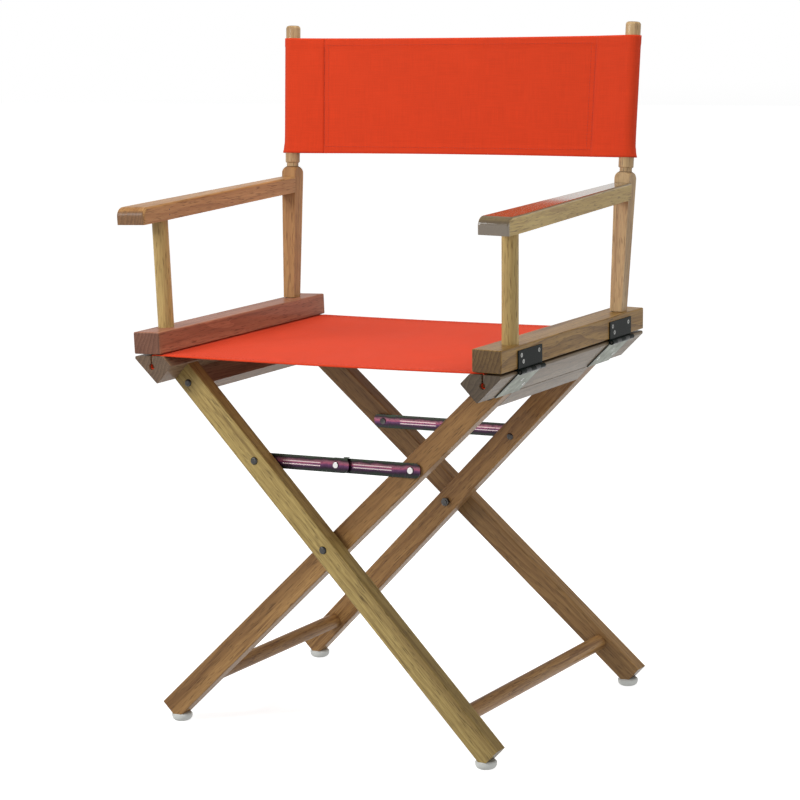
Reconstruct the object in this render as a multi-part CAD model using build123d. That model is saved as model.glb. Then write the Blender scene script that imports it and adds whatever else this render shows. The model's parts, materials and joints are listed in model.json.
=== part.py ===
from build123d import *
import math
import os

# Folding director chair, in millimetres. +X is the sitter's left, +Y the back, +Z up.
# The origin is on the floor, under the centre of the chair.
#
# Two rigid frames cross like scissors and turn about one axis along Y:
#   the outer frame: two outer legs, the left seat rail, the right stretcher
#   the inner frame: two inner legs, the right seat rail, the left stretcher
# Each seat rail carries an upright arm assembly on a pair of butt hinges, and two
# folding braces join the frames between the legs.

# ---------------------------------------------------------------- driving dimensions
LEG_ANGLE = 44.0            # legs against the floor, chair open
LEG_SPREAD = 4.95           # each leg turned outwards from its frame's centre line
SCISSOR_HEIGHT = 239.5      # scissor axis above the floor
LEG_WIDTH = 29.0
LEG_THICKNESS = 22.5
LEG_TOP = 292.5             # distance along a leg from the scissor axis to the rail
LEG_BOTTOM = 324.0          # distance from the scissor axis to the square-cut end
OUTER_LEG_Y = 173.5         # centre of an outer leg at the scissor axis
INNER_LEG_Y = 142.5         # centre of an inner leg at the scissor axis
EDGE_ROUND = 1.6            # softened edges of the wooden bars

SEAT_HEIGHT = 468.0         # underside of the arm bases
ARM_BASE_INNER_X = 214.5
ARM_BASE_OUTER_X = 252.5
ARM_BASE_HEIGHT = 27.0
FRAME_LENGTH = 397.0        # arm bases and seat rails, front to back
ARM_TILT = 1.3              # outward lean of each arm assembly

RAIL_THICKNESS = 31.0       # square to the leg
RAIL_INNER_SIDE = 16.5      # from the leg's centre line to the rail's upper face
RAIL_GAP = 2.5              # between the rail's flat top and the arm base
RAIL_NOSE_X = 251.5         # upright outer edge of the rail
TONGUE_DEPTH = 26.5         # lip that drops between the legs
TONGUE_THICKNESS = 16.0

ARMREST_UNDERSIDE = 132.0   # above the arm base, at the front
ARMREST_THICKNESS = 21.0
ARMREST_FRONT_WIDTH = 41.0
ARMREST_BACK_WIDTH = 23.0
ARMREST_INNER_X = 223.5
ARMREST_FRONT_Y = -202.0
ARMREST_RISE = 1.2          # slope towards the back, degrees

BRAD_RADIUS = 0.9
FRONT_POST_X = 238.0
FRONT_POST_Y = -147.0
FRONT_POST_DIAMETER = 20.0
REAR_POST_X = 237.9
REAR_POST_Y = 154.0
BACK_LEAN = 6.4
REAR_POST_FOOT = 16.0       # square section at the arm base
REAR_POST_HEAD = 20.5       # square section at the armrest
REAR_POST_FULL = 160.0      # height above the arm base where it reaches full section
REAR_POST_SHOULDER = 175.0  # top of the turned shoulder, measured along the post
NECK_DIAMETER = 15.5
BACK_DOWEL_DIAMETER = 19.0
BACK_DOWEL_FOOT = 179.0     # along the post, from the arm base
BACK_DOWEL_TOP = 360.0
TENON = 12.0                # depth of the glued tenons
POST_TENON_RADIUS = 7.0     # at the foot of each post

STRETCHER_DIAMETER = 19.5
STRETCHER_DISTANCE = 263.0  # along the leg, below the scissor axis
GLIDE_DIAMETER = 26.0
GLIDE_HEIGHT = 10.0
GLIDE_X = 223.0
GLIDE_NAIL_LENGTH = 16.0

PIVOT_BOLT_DIAMETER = 6.0
RAIL_BOLT_DISTANCE = 275.5
RAIL_BOLT_OFFSET = -2.5     # towards the outer side of the leg
RUNNING_CLEARANCE = 0.06    # radial, between a pin and the piece that turns on it

BRACE_PIN_DISTANCE = 140.0  # along the leg, above the scissor axis
LINK_HEIGHT = 18.0
LINK_THICKNESS = 1.2
LINK_SPACE = 1.5            # from the middle plane of the braces to each link
LINK_BEAD = (55.0, 4.6)     # pressed groove along the middle of each link
LINK_END = 13.0             # beyond the end pins
OUTER_LINK_OVERLAP = 18.0   # beyond the middle rivet
INNER_LINK_OVERLAP = 10.5
BRACE_PIN_DIAMETER = 5.0
STOP_TAB = (11.0, 16.0)     # the tab's two ends, along the outer link from the middle rivet

HINGE_LENGTH = 62.0
HINGE_CENTRE_Y = 126.0
HINGE_BARREL_RADIUS = 3.0
HINGE_PIN_RADIUS = 1.5
HINGE_LEAF_THICKNESS = 1.5
HINGE_KNUCKLES = 5
ARM_LEAF_HEIGHT = 21.5
HINGE_SCREW_RADIUS = 2.6
HINGE_SCREW_LENGTH = 8.0

CANVAS_THICKNESS = 1.0
SEAT_DEPTH = 390.0
GROOVE_X = 228.0            # keyhole groove in each seat rail
GROOVE_WIDTH = 2.4
KEYHOLE_RADIUS = 4.0
KEYHOLE_DEPTH = 12.5
SEAT_DOWEL_RADIUS = 2.5
BACK_CANVAS_LOW = 192.0     # along the back dowels, above the arm base
BACK_CANVAS_HEIGHT = 151.0
SLEEVE_GAP = 0.4            # between a back dowel and its canvas sleeve

# ---------------------------------------------------------------- derived values
COS_LEG = math.cos(math.radians(LEG_ANGLE))
SIN_LEG = math.sin(math.radians(LEG_ANGLE))
TAN_SPREAD = math.tan(math.radians(LEG_SPREAD))
RAIL_TOP = SEAT_HEIGHT - RAIL_GAP
RAIL_OUTER_SIDE = RAIL_INNER_SIDE - RAIL_THICKNESS
ARM_BASE_TOP = SEAT_HEIGHT + ARM_BASE_HEIGHT
HINGE_X = ARM_BASE_OUTER_X + HINGE_BARREL_RADIUS + 0.3
HINGE_Z = SEAT_HEIGHT - 3.5
LINK_LENGTH = BRACE_PIN_DISTANCE * COS_LEG
LEG_LEAN = math.degrees(math.atan(TAN_SPREAD / SIN_LEG))
PAIR_MIDDLE_Y = (OUTER_LEG_Y + INNER_LEG_Y) / 2
LEG_GAP = OUTER_LEG_Y - INNER_LEG_Y - LEG_THICKNESS
LONG = 1000.0               # larger than the chair, for trimming blocks

# The inner frame's plane: x along the legs (upwards), y to the back, z square to the legs.
FRAME_PLANE = Plane(
    origin=(0, 0, SCISSOR_HEIGHT),
    x_dir=(COS_LEG, 0, SIN_LEG),
    z_dir=(-SIN_LEG, 0, COS_LEG),
)
# The front braces' plane: x to the right, y up along the lean of the legs, z to the front.
LEAN_SLOPE = math.tan(math.radians(LEG_LEAN))
BRACE_RISE = BRACE_PIN_DISTANCE * SIN_LEG
BRACE_PLANE = Plane(
    origin=(0, -PAIR_MIDDLE_Y + LEAN_SLOPE * BRACE_RISE, SCISSOR_HEIGHT + BRACE_RISE),
    x_dir=(1, 0, 0),
    z_dir=(0, -1, LEAN_SLOPE),
)
# The right rear post: origin on top of the arm base, z along the post.
POST_PLANE = Plane(
    origin=(REAR_POST_X, REAR_POST_Y, ARM_BASE_TOP),
    x_dir=(1, 0, 0),
    z_dir=(0, math.sin(math.radians(BACK_LEAN)), math.cos(math.radians(BACK_LEAN))),
)


# ---------------------------------------------------------------- helpers
def to_left(shape):
    return mirror(shape, about=Plane.YZ)


def to_back(shape):
    return mirror(shape, about=Plane.XZ)


def block(x_range, y_range, z_range):
    """A box from its lowest and highest coordinates."""
    size = [high - low for low, high in (x_range, y_range, z_range)]
    centre = [(high + low) / 2 for low, high in (x_range, y_range, z_range)]
    return Pos(*centre) * Box(*size)


def rod_y(radius, y_low, y_high, x=0.0, z=0.0):
    """A round rod along Y."""
    return Pos(x, (y_low + y_high) / 2, z) * Rot(90, 0, 0) * Cylinder(radius, y_high - y_low)


def rod_z(radius, z_low, z_high, x=0.0, y=0.0):
    """A round rod along Z."""
    return Pos(x, y, (z_low + z_high) / 2) * Cylinder(radius, z_high - z_low)


def soften(shape, axis, radius=EDGE_ROUND):
    """Round the four long edges of a bar that runs along an axis."""
    return fillet(shape.edges().filter_by(axis), radius)


def lean_out(shape):
    """Tilt a right-hand arm piece outwards about the hinge axis."""
    return Pos(HINGE_X, 0, HINGE_Z) * Rot(0, ARM_TILT, 0) * Pos(-HINGE_X, 0, -HINGE_Z) * shape


def dome_head(radius, height):
    """A pan head that stands on z = 0, with a rounded top edge."""
    head = rod_z(radius, 0, height)
    return fillet(head.edges().sort_by(Axis.Z)[-1], height * 0.75)


def save(name, shape):
    export_step(shape, os.path.join("parts", name + ".step"))


# ---------------------------------------------------------------- arm assembly, right side
def arm_base():
    half = FRAME_LENGTH / 2
    base = block((ARM_BASE_INNER_X, ARM_BASE_OUTER_X), (-half, half), (SEAT_HEIGHT, ARM_BASE_TOP))
    return fillet(base.edges(), EDGE_ROUND)


def front_post():
    shoulder = ARM_BASE_TOP + ARMREST_UNDERSIDE
    shaft = rod_z(FRONT_POST_DIAMETER / 2, ARM_BASE_TOP, shoulder + 16, FRONT_POST_X, FRONT_POST_Y)
    return shaft + rod_z(POST_TENON_RADIUS, ARM_BASE_TOP - TENON, ARM_BASE_TOP, FRONT_POST_X, FRONT_POST_Y)


def rear_post():
    """Square post, tapered towards its foot, with a turned shoulder under the neck."""
    sections = Sketch() + [
        Pos(0, 0, 0) * Rectangle(REAR_POST_FOOT, REAR_POST_FOOT),
        Pos(0, 0, REAR_POST_FULL) * Rectangle(REAR_POST_HEAD, REAR_POST_HEAD),
    ]
    shaft = loft(sections.faces())
    cap = Pos(0, 0, (REAR_POST_FULL + REAR_POST_SHOULDER) / 2) * Box(
        REAR_POST_HEAD, REAR_POST_HEAD, REAR_POST_SHOULDER - REAR_POST_FULL
    )
    blank = shaft + cap
    turned_radius = REAR_POST_HEAD * 0.72
    shoulder_drop = 10.0
    profile = Polyline(
        (0, REAR_POST_SHOULDER),
        (0, -TENON),
        (turned_radius, -TENON),
        (turned_radius, REAR_POST_SHOULDER - shoulder_drop),
    )
    crown = ThreePointArc(
        (turned_radius, REAR_POST_SHOULDER - shoulder_drop),
        (turned_radius * 0.78, REAR_POST_SHOULDER - shoulder_drop * 0.32),
        (0, REAR_POST_SHOULDER),
    )
    turning = revolve(Plane.XZ * make_face([*profile.edges(), *crown.edges()]), Axis.Z)
    foot_tenon = rod_z(POST_TENON_RADIUS, -TENON, 0)
    return POST_PLANE * ((blank & turning) + foot_tenon)


def back_dowel():
    """Round upper dowel, tenoned into the rear post by its neck."""
    radius = BACK_DOWEL_DIAMETER / 2
    shaft = rod_z(radius, BACK_DOWEL_FOOT, BACK_DOWEL_TOP)
    shaft = fillet(shaft.edges().sort_by(Axis.Z)[-1], radius * 0.4)
    shaft = chamfer(shaft.edges().sort_by(Axis.Z)[0], 1.0)
    tenon = rod_z(NECK_DIAMETER / 2, REAR_POST_SHOULDER - 2 * TENON, BACK_DOWEL_FOOT)
    return POST_PLANE * (shaft + tenon)


def armrest():
    """Arm board, straight inside, tapered outside, with a rounded top at the front."""
    front = ARMREST_FRONT_Y
    back = REAR_POST_Y + 40
    outline = Polyline(
        (ARMREST_INNER_X, front),
        (ARMREST_INNER_X + ARMREST_FRONT_WIDTH, front),
        (ARMREST_INNER_X + ARMREST_FRONT_WIDTH, front + 40),
        (ARMREST_INNER_X + ARMREST_BACK_WIDTH + 4, back),
        (ARMREST_INNER_X + 4, back),
        close=True,
    )
    board = extrude(make_face(outline), ARMREST_THICKNESS)
    nose = board.edges().filter_by(Axis.X).sort_by(Axis.Y)[:2].sort_by(Axis.Z)[-1]
    board = fillet(nose, ARMREST_THICKNESS * 0.55)
    corners = board.edges().filter_by(Axis.Z).sort_by(Axis.Y)[:2]
    board = fillet(corners, 3.0)
    seat = Pos(0, front, ARM_BASE_TOP + ARMREST_UNDERSIDE) * Rot(ARMREST_RISE, 0, 0)
    return seat * Pos(0, -front, 0) * board


def brads(radius, start):
    """Two brads from the armrest's inner side into the front post, one above the other."""
    length = ARMREST_INNER_X + 14 - start
    low = ARM_BASE_TOP + ARMREST_UNDERSIDE + 1.2
    rod = Rot(0, 90, 0) * Cylinder(radius, length)
    return [Pos(start + length / 2, FRONT_POST_Y + 2, low + rise) * rod for rise in (6.3, 12.8)]


def arm_pieces():
    """The wooden pieces of the right arm, fitted to each other."""
    base = arm_base()
    post = front_post()
    upright = rear_post()
    dowel = back_dowel()
    board = armrest()
    behind_post_face = POST_PLANE * block((-60, 60), (-REAR_POST_HEAD / 2, 120), (0, 260))
    brad_holes = brads(BRAD_RADIUS, ARMREST_INNER_X - 1)
    return {
        "arm_base": base - post - upright,
        "front_post": post - brad_holes,
        "rear_post": upright - dowel,
        "back_dowel": dowel,
        "armrest": board - post - behind_post_face - brad_holes,
    }


# ---------------------------------------------------------------- hinges, right side
def knuckle_ranges(first):
    """The lengths of every second knuckle of a hinge barrel, along Y."""
    pitch = HINGE_LENGTH / HINGE_KNUCKLES
    gap = 0.3
    starts = [-HINGE_LENGTH / 2 + pitch * i for i in range(first, HINGE_KNUCKLES, 2)]
    return [(start + gap / 2, start + pitch - gap / 2) for start in starts]


def hinge_barrel(first, bore):
    pieces = [rod_y(HINGE_BARREL_RADIUS, low, high) for low, high in knuckle_ranges(first)]
    return Part() + pieces - rod_y(bore, -HINGE_LENGTH, HINGE_LENGTH)


def knuckle_slots(first):
    """Clearance cut in a leaf beside the other leaf's knuckles."""
    reach = HINGE_BARREL_RADIUS + 0.3
    return [rod_y(reach, low - 0.3, high + 0.3) for low, high in knuckle_ranges(first)]


def arm_leaf():
    """Upright leaf; local origin on the hinge axis."""
    inner = ARM_BASE_OUTER_X - HINGE_X
    half = HINGE_LENGTH / 2
    plate = block((inner, inner + HINGE_LEAF_THICKNESS), (-half, half), (0, ARM_LEAF_HEIGHT + 3.5))
    plate = plate - knuckle_slots(1) - rod_y(HINGE_PIN_RADIUS, -half, half)
    return plate + hinge_barrel(0, HINGE_PIN_RADIUS) - arm_screws(screw(HINGE_SCREW_RADIUS))


def rail_leaf_plate():
    """Plate on the rail's outer face, in the frame's plane."""
    low_side = RAIL_OUTER_SIDE - HINGE_LEAF_THICKNESS
    half = HINGE_LENGTH / 2
    return block((LEG_TOP + 1.5, 341), (-half, half), (low_side, RAIL_OUTER_SIDE))


def rail_leaf():
    bore = HINGE_PIN_RADIUS + RUNNING_CLEARANCE
    plate = Pos(-HINGE_X, 0, -HINGE_Z) * (FRAME_PLANE * rail_leaf_plate())
    plate = plate - knuckle_slots(0) - rod_y(bore, -HINGE_LENGTH, HINGE_LENGTH)
    return plate + hinge_barrel(1, bore) - rail_screws(screw(HINGE_SCREW_RADIUS))


def screw(radius):
    """Countersunk wood screw, head upwards, its top at z = 0."""
    head = Pos(0, 0, -0.75) * Cone(radius * 0.5, radius, 1.5)
    return head + rod_z(radius * 0.5, -HINGE_SCREW_LENGTH, -1.5)


def cross_recess(radius):
    """Cross cut in a screw's head."""
    return Box(radius * 1.1, radius * 0.3, 1.2) + Box(radius * 0.3, radius * 1.1, 1.2)


def arm_screws(piece):
    """One piece for each of the three screws of an arm leaf, about the hinge axis."""
    face = ARM_BASE_OUTER_X - HINGE_X + HINGE_LEAF_THICKNESS
    places = [(-23, 19), (-18, 11), (23, 19)]
    return [Pos(face, y, z) * Rot(0, 90, 0) * piece for y, z in places]


def rail_screws(piece):
    """One piece for each of the three screws of a rail leaf, about the hinge axis."""
    face = RAIL_OUTER_SIDE - HINGE_LEAF_THICKNESS
    places = [(308, -20), (320, 4), (308, 23)]
    screws = [Pos(s, y, face) * Rot(180, 0, 0) * piece for s, y in places]
    return [Pos(-HINGE_X, 0, -HINGE_Z) * (FRAME_PLANE * one) for one in screws]


def screw_group(placing):
    """The screws of both leaves, front and back, as blanks and with their recesses cut."""
    blanks, cut = [], []
    for end in (-1, 1):
        for blank, recess in zip(placing(screw(HINGE_SCREW_RADIUS)), placing(cross_recess(HINGE_SCREW_RADIUS))):
            blanks.append(at_hinge(blank, end))
            cut.append(at_hinge(blank - recess, end))
    return blanks, cut


def at_hinge(shape, end):
    """Place a hinge piece at the front (-1) or the back (+1) of the right side."""
    return Pos(HINGE_X, end * HINGE_CENTRE_Y, HINGE_Z) * shape


def hinge_pin():
    half = HINGE_LENGTH / 2
    head = rod_y(2.4, half + 0.1, half + 1.2)
    return rod_y(HINGE_PIN_RADIUS, -half, half + 0.1) + head


# ---------------------------------------------------------------- frames
def leg(centre_y):
    """A front leg in the frame's plane, before its foot is cut level."""
    half_width = LEG_WIDTH / 2
    half_thick = LEG_THICKNESS / 2
    bar = block((-LONG / 2, LONG / 2), (-half_thick, half_thick), (-half_width, half_width))
    bar = Rot(0, 0, LEG_SPREAD) * soften(bar, Axis.X)
    length = block((-LEG_BOTTOM, LEG_TOP), (-LONG, LONG), (-LONG, LONG))
    above_glide = block((-LONG, LONG), (-LONG, LONG), (GLIDE_HEIGHT, LONG))
    return (FRAME_PLANE * ((Pos(0, -centre_y, 0) * bar) & length)) & above_glide


def rail_profile_face():
    """Section of the right seat rail, in the frame's plane seen along Y."""
    lower = RAIL_OUTER_SIDE
    upper = RAIL_INNER_SIDE
    far = LEG_TOP + 70
    return Polyline((LEG_TOP, lower), (far, lower), (far, upper), (LEG_TOP, upper), close=True)


def tongue_outline(centre_y):
    """The gap between the facing sides of a frame's two legs, under the rail."""
    half_leg = LEG_THICKNESS / 2 / math.cos(math.radians(LEG_SPREAD))
    low, high = LEG_TOP - TONGUE_DEPTH, LEG_TOP
    low_y = centre_y - half_leg - TAN_SPREAD * low
    high_y = centre_y - half_leg - TAN_SPREAD * high
    return make_face(Polyline((low, -low_y), (high, -high_y), (high, high_y), (low, low_y), close=True))


def seat_rail(centre_y):
    """Right seat rail with its keyhole groove and the tongue between the legs."""
    half = FRAME_LENGTH / 2
    section = make_face(Plane.XZ * rail_profile_face())
    bar = FRAME_PLANE * extrude(section, half, both=True)
    below_top = lean_out(block((-LONG, LONG), (-LONG, LONG), (-LONG, RAIL_TOP)))
    inside_nose = block((-LONG, RAIL_NOSE_X), (-LONG, LONG), (-LONG, LONG))
    bar = fillet((bar & below_top & inside_nose).edges().filter_by(Axis.Y), EDGE_ROUND)
    tongue = FRAME_PLANE * (Pos(0, 0, RAIL_OUTER_SIDE) * extrude(tongue_outline(centre_y), TONGUE_THICKNESS))
    groove = block(
        (GROOVE_X - GROOVE_WIDTH / 2, GROOVE_X + GROOVE_WIDTH / 2),
        (-LONG, LONG),
        (RAIL_TOP - KEYHOLE_DEPTH, LONG),
    )
    keyhole = rod_y(KEYHOLE_RADIUS, -LONG, LONG, GROOVE_X, RAIL_TOP - KEYHOLE_DEPTH)
    return bar + tongue - groove - keyhole


def rung(centre_y):
    """Round stretcher of the inner frame's side, housed 8 mm deep in both legs."""
    x = -STRETCHER_DISTANCE * COS_LEG
    z = SCISSOR_HEIGHT - STRETCHER_DISTANCE * SIN_LEG
    half = centre_y + TAN_SPREAD * STRETCHER_DISTANCE - LEG_THICKNESS / 2 + 8
    return rod_y(STRETCHER_DIAMETER / 2, -half, half, x, z)


def glide(centre_y):
    """Nail-on glide under a front leg of the inner frame."""
    foot_distance = LEG_BOTTOM - 6
    y = -centre_y - TAN_SPREAD * foot_distance
    radius = GLIDE_DIAMETER / 2
    profile = Polyline(
        (0, GLIDE_HEIGHT),
        (radius - 1.5, GLIDE_HEIGHT),
        (radius, GLIDE_HEIGHT - 1.5),
        (radius, GLIDE_HEIGHT - 3.5),
    )
    belly = ThreePointArc((radius, GLIDE_HEIGHT - 3.5), (radius - 2, 1.8), (radius - 6, 0))
    floor = Polyline((radius - 6, 0), (0, 0), (0, GLIDE_HEIGHT))
    cap = revolve(Plane.XZ * make_face([*profile.edges(), *belly.edges(), *floor.edges()]), Axis.Z)
    nail = rod_z(1.5, GLIDE_HEIGHT, GLIDE_HEIGHT + GLIDE_NAIL_LENGTH)
    return Pos(-GLIDE_X, y, 0) * (cap + nail)


def rail_bolt(centre_y):
    """Bolt from the front leg's outer side into the end of the tongue."""
    distance = RAIL_BOLT_DISTANCE
    face_y = -centre_y - LEG_THICKNESS / 2 + TAN_SPREAD * distance
    head = Rot(90, 0, 0) * dome_head(4.6, 2.4)
    body = head + rod_y(2.5, -0.5, LEG_THICKNESS + 24)
    return FRAME_PLANE * (Pos(distance, face_y, RAIL_BOLT_OFFSET) * Rot(0, 0, LEG_SPREAD) * body)


def pivot_bolt():
    """Scissor bolt of the front leg pair: domed head, shank and a lock nut."""
    radius = PIVOT_BOLT_DIAMETER / 2
    face = -OUTER_LEG_Y - LEG_THICKNESS / 2
    inner_face = -INNER_LEG_Y + LEG_THICKNESS / 2
    head = Pos(0, face + 0.4, SCISSOR_HEIGHT) * Rot(90, 0, 0) * dome_head(4.8, 3.0)
    shank = rod_y(radius, face, inner_face + 6.5, 0, SCISSOR_HEIGHT)
    nut_body = Rot(90, 0, 0) * extrude(RegularPolygon(5.6, 6), 4.5)
    nut = Pos(0, inner_face + 5.4, SCISSOR_HEIGHT) * nut_body - shank
    reach = LEG_GAP / 2 - 0.95
    spacer = rod_y(8, -PAIR_MIDDLE_Y - reach, -PAIR_MIDDLE_Y + reach, 0, SCISSOR_HEIGHT) - shank
    return head + shank, nut, spacer


# ---------------------------------------------------------------- folding braces, front
def link(side, overlap):
    """Stamped strip; side -1 is pinned to the outer leg, +1 to the inner leg."""
    ends = sorted((side * (LINK_LENGTH + LINK_END), -side * overlap))
    strip = RectangleRounded(ends[1] - ends[0], LINK_HEIGHT, 7.0)
    plate = extrude(Pos(sum(ends) / 2, 0, 0) * strip, LINK_THICKNESS)
    bead = Pos(side * LINK_LENGTH * 0.48, 0, LINK_THICKNESS) * SlotOverall(LINK_BEAD[0], LINK_BEAD[1])
    plate = plate - extrude(bead, 0.5, both=True)
    return Pos(0, 0, LINK_SPACE if side < 0 else -LINK_SPACE - LINK_THICKNESS) * plate


def link_pin_hole(x):
    return rod_z(BRACE_PIN_DIAMETER / 2 + RUNNING_CLEARANCE, -5, 5, x)


def outer_link():
    """The outer link carries the tab that rests on the other link and stops it sagging."""
    half = LINK_HEIGHT / 2
    front = LINK_SPACE + LINK_THICKNESS
    root = block(STOP_TAB, (half - 5, half + 1.5), (LINK_SPACE, front))
    hook = block(STOP_TAB, (half + 0.3, half + 1.5), (-front - 0.2, front))
    plate = link(-1, OUTER_LINK_OVERLAP) + root + hook
    return plate - link_pin_hole(-LINK_LENGTH) - rod_z(BRACE_PIN_DIAMETER / 2, -5, 5)


def inner_link():
    plate = link(1, INNER_LINK_OVERLAP)
    return plate - link_pin_hole(LINK_LENGTH) - rod_z(BRACE_PIN_DIAMETER / 2, -5, 5)


def middle_rivet():
    """Front half of the middle joint's rivet, held in the outer link."""
    front = LINK_SPACE + LINK_THICKNESS
    head = Pos(0, 0, front) * dome_head(4.0, 1.2)
    return head + rod_z(BRACE_PIN_DIAMETER / 2, 0.4, front)


def middle_rivet_tail():
    """Back half of the middle joint's rivet, held in the inner link."""
    back = -LINK_SPACE - LINK_THICKNESS
    head = Pos(0, 0, back) * Rot(180, 0, 0) * dome_head(4.0, 0.9)
    return head + rod_z(BRACE_PIN_DIAMETER / 2, back, -0.1)


def leg_face_distance():
    """From the middle plane of the braces to the facing side of a leg."""
    return LEG_GAP / 2 * math.cos(math.radians(LEG_LEAN))


def outer_brace_bolt():
    """Bolt through the outer leg that carries the outer link."""
    leg_back = leg_face_distance()
    leg_front = leg_back + LEG_THICKNESS
    head = Pos(0, 0, leg_front - 0.4) * dome_head(4.8, 2.8)
    shank = rod_z(BRACE_PIN_DIAMETER / 2, LINK_SPACE - 1.1, leg_front)
    collar = rod_z(4.5, LINK_SPACE + LINK_THICKNESS + 0.1, leg_back + 0.2)
    tail = rod_z(4.0, LINK_SPACE - 1.2, LINK_SPACE - 0.1)
    return Pos(-LINK_LENGTH, 0, 0) * (head + shank + collar + tail)


def inner_brace_rivet():
    """Rivet through the inner leg that pins the inner link to its front."""
    leg_front = leg_face_distance()
    leg_back = leg_front + LEG_THICKNESS
    head = Pos(0, 0, -LINK_SPACE + 0.1) * dome_head(4.4, 1.4)
    shank = rod_z(BRACE_PIN_DIAMETER / 2, -leg_back, -LINK_SPACE + 0.1)
    collar = rod_z(4.5, -leg_front - 0.2, -LINK_SPACE - LINK_THICKNESS - 0.1)
    set_head = Pos(0, 0, -leg_back + 0.4) * Rot(180, 0, 0) * dome_head(4.4, 2.2)
    return Pos(LINK_LENGTH, 0, 0) * (head + shank + collar + set_head)


# ---------------------------------------------------------------- canvas
def seat_canvas():
    """Flat seat with a hem at each side that drops into the rail's keyhole."""
    low = RAIL_TOP + 1.3
    half = SEAT_DEPTH / 2
    edge = GROOVE_X + CANVAS_THICKNESS / 2
    sheet = block((-edge, edge), (-half, half), (low, low + CANVAS_THICKNESS))
    hem_z = RAIL_TOP - KEYHOLE_DEPTH
    outer = SEAT_DOWEL_RADIUS + 0.2 + CANVAS_THICKNESS * 0.8
    for side in (-1, 1):
        web = block(
            (side * GROOVE_X - CANVAS_THICKNESS / 2, side * GROOVE_X + CANVAS_THICKNESS / 2),
            (-half, half),
            (hem_z, low + CANVAS_THICKNESS),
        )
        loop = rod_y(outer, -half, half, side * GROOVE_X, hem_z)
        sheet = sheet + web + loop
    for side in (-1, 1):
        sheet = sheet - rod_y(SEAT_DOWEL_RADIUS + 0.2, -half, half, side * GROOVE_X, hem_z)
    return sheet


def seat_dowel():
    half = SEAT_DEPTH / 2 - 3
    return rod_y(SEAT_DOWEL_RADIUS, -half, half, GROOVE_X, RAIL_TOP - KEYHOLE_DEPTH)


def back_canvas():
    """Flat back panel with a sleeve over each back dowel."""
    inner = BACK_DOWEL_DIAMETER / 2 + SLEEVE_GAP
    outer = inner + CANVAS_THICKNESS
    low = BACK_CANVAS_LOW
    high = BACK_CANVAS_LOW + BACK_CANVAS_HEIGHT
    sleeve = rod_z(outer, low, high)
    right_sleeve = lean_out(POST_PLANE * sleeve)
    right_bore = lean_out(POST_PLANE * rod_z(inner, low - 5, high + 5))
    half_thick = CANVAS_THICKNESS / 2
    panel = POST_PLANE * block((-2 * REAR_POST_X - 20, 20), (-half_thick, half_thick), (low, high))
    right_limit = lean_out(block((-LONG, REAR_POST_X), (-LONG, LONG), (-LONG, LONG)))
    panel = panel & right_limit & to_left(right_limit)
    return panel + right_sleeve + to_left(right_sleeve) - right_bore - to_left(right_bore)


# ---------------------------------------------------------------- assembly
def both_ends(front_shape):
    """A front piece and its mirror image at the back, as one group."""
    return Compound(children=[front_shape, to_back(front_shape)])


def make_arms():
    """Arm pieces, arm leaves, pins and their screws, on both sides."""
    wood = arm_pieces()
    blanks, screws = screw_group(arm_screws)
    for one in blanks:
        wood["arm_base"] = wood["arm_base"] - one
    right = {name: lean_out(shape) for name, shape in wood.items()}
    for label, end in (("front", -1), ("rear", 1)):
        right[label + "_hinge_arm_leaf"] = lean_out(at_hinge(arm_leaf(), end))
        right[label + "_hinge_pin"] = at_hinge(hinge_pin(), end)
    right["arm_hinge_screws"] = Compound(children=[lean_out(one) for one in screws])
    sunk_brads = brads(BRAD_RADIUS, ARMREST_INNER_X + 0.5)
    right["arm_brads"] = Compound(children=[lean_out(one) for one in sunk_brads])
    for name, shape in right.items():
        save("right_" + name, shape)
        save("left_" + name, to_left(shape))


def make_frame(side, centre_y, leg_name, rung_side, place):
    """One scissor frame: legs, rail, rung, glides, bolts and rail leaves of the hinges."""
    front = leg(centre_y)
    front_glide = glide(centre_y)
    bolt = rail_bolt(centre_y)
    rail = seat_rail(centre_y)
    blanks, screws = screw_group(rail_screws)
    for cutter in [bolt, to_back(bolt), *blanks]:
        rail = rail - cutter
    wood_leg = front - front_glide - rung(centre_y) - bolt
    for cutter in leg_cutters(leg_name):
        wood_leg = wood_leg - cutter
    save(side + "_seat_rail", place(rail))
    save("front_" + leg_name, place(wood_leg))
    save("rear_" + leg_name, place(to_back(wood_leg)))
    save(rung_side + "_stretcher", place(rung(centre_y)))
    save("front_" + rung_side + "_glide", place(front_glide))
    save("rear_" + rung_side + "_glide", place(to_back(front_glide)))
    save(side + "_rail_bolts", place(both_ends(bolt)))
    save(side + "_rail_hinge_screws", place(Compound(children=screws)))
    save(side + "_seat_dowel", place(seat_dowel()))
    for label, end in (("front", -1), ("rear", 1)):
        save(side + "_" + label + "_hinge_rail_leaf", place(at_hinge(rail_leaf(), end)))


def leg_cutters(leg_name):
    """Holes in a front leg for the scissor bolt and the brace pin, on the inner frame's side."""
    bolt = pivot_bolt()[0]
    if leg_name == "outer_leg":
        return [bolt, to_left(BRACE_PLANE * outer_brace_bolt())]
    clearance = PIVOT_BOLT_DIAMETER / 2 + RUNNING_CLEARANCE
    hole = rod_y(clearance, -OUTER_LEG_Y, 0, 0, SCISSOR_HEIGHT)
    return [hole, BRACE_PLANE * inner_brace_rivet()]


def make_scissor():
    bolt, nut, spacer = pivot_bolt()
    save("pivot_bolts", both_ends(bolt))
    save("pivot_nuts", both_ends(nut))
    save("pivot_spacers", both_ends(spacer))


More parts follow.
